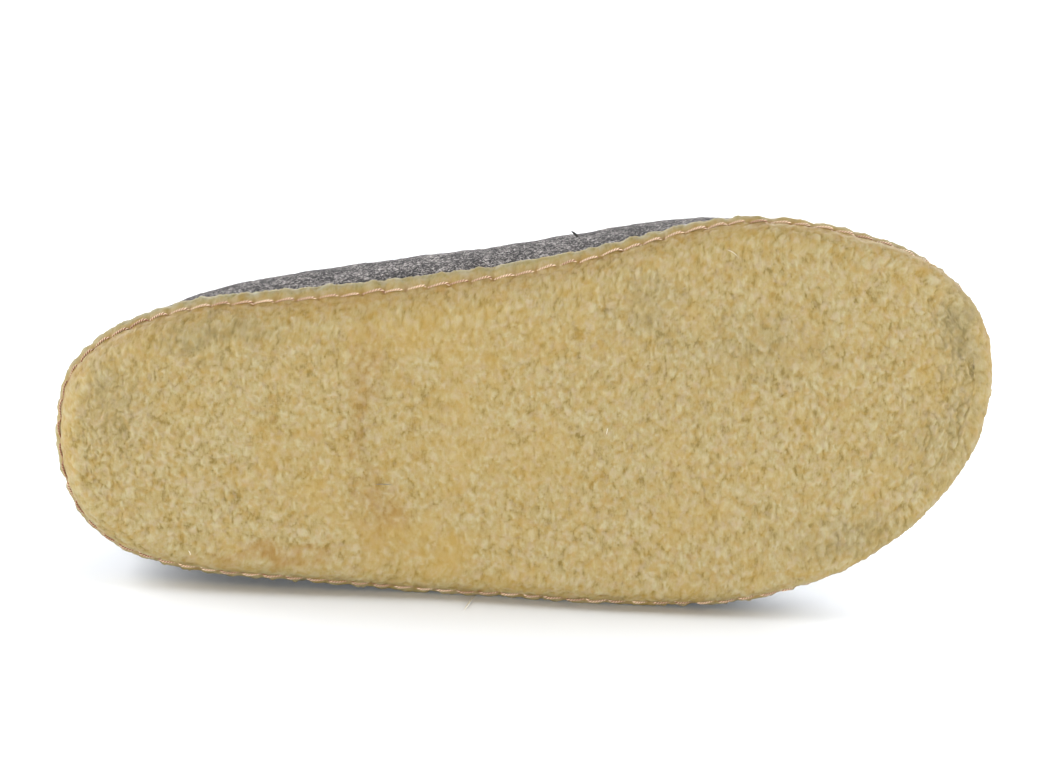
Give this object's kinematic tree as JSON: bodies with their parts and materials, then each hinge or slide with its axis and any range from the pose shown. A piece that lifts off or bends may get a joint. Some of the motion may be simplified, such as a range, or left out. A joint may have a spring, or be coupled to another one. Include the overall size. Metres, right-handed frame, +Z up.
{
  "type": "slipper",
  "caption": "Left house slipper with a hollow grey wool-felt upper and a stitched natural crepe-rubber cup sole, lying on its outer side to show the tread.",
  "frame": {"origin": "middle of the bounding box's base, on the floor that the slipper's outer side rests on", "axes": "+X from heel to toe, +Z up towards the inner side of the foot, -Y the way the tread faces"},
  "size_m": [0.2792, 0.0872, 0.1177],
  "materials": {
    "crepe_rubber": "matt natural crepe rubber, honey yellow, with a lumpy crumb tread",
    "wool_felt": "grey melange wool felt with a fuzzy surface",
    "insole_felt": "plain grey wool felt"
  },
  "bodies": {
    "root": {"outsole": "crepe_rubber", "upper": "wool_felt", "insole": "insole_felt"}
  },
  "joints": []
}
